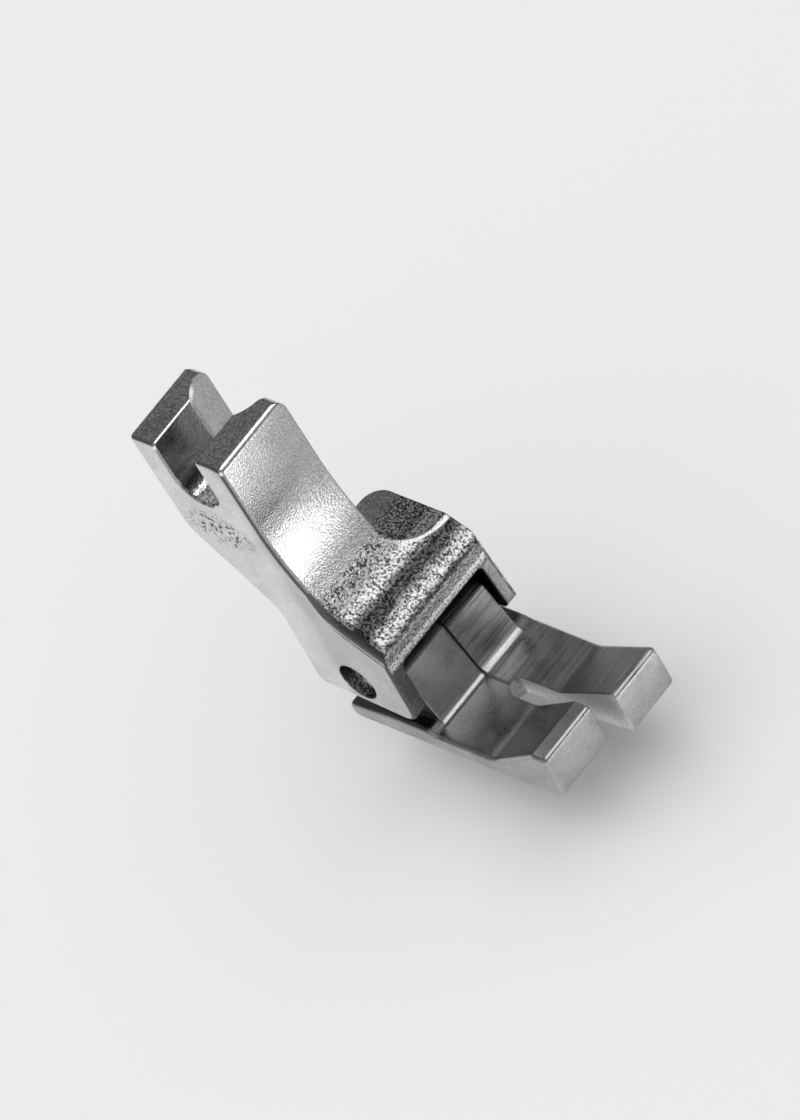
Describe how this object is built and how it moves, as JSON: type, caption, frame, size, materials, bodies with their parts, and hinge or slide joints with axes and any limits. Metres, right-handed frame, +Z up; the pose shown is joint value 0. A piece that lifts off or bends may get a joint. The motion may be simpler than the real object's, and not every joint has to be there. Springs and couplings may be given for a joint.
{
  "type": "sewing machine presser foot",
  "caption": "Hinged presser foot for a high-shank lockstitch machine: forked shank, rocking split sole with upturned toes and a hinge pin",
  "frame": {"origin": "on the sole's underside, straight below the hinge pin and midway between the sole's sides", "axes": "+Z up along the presser bar, -Y towards the toes and the operator, +X to the operator's right"},
  "size_m": [0.0139, 0.0331, 0.0331],
  "materials": {
    "cast_shank": "ground and dull plated",
    "milled_sole": "milled and polished",
    "pin_steel": "rough cut end"
  },
  "bodies": {
    "shank": {"shank": "cast_shank", "hinge_pin": "pin_steel"},
    "sole": {"sole": "milled_sole"}
  },
  "joints": [
    {"name": "sole_hinge", "type": "hinge", "parent": "shank", "child": "sole", "pos_m": [0, 0, 0.00675], "axis": [1, 0, 0], "range_deg": [-15, 15]}
  ]
}
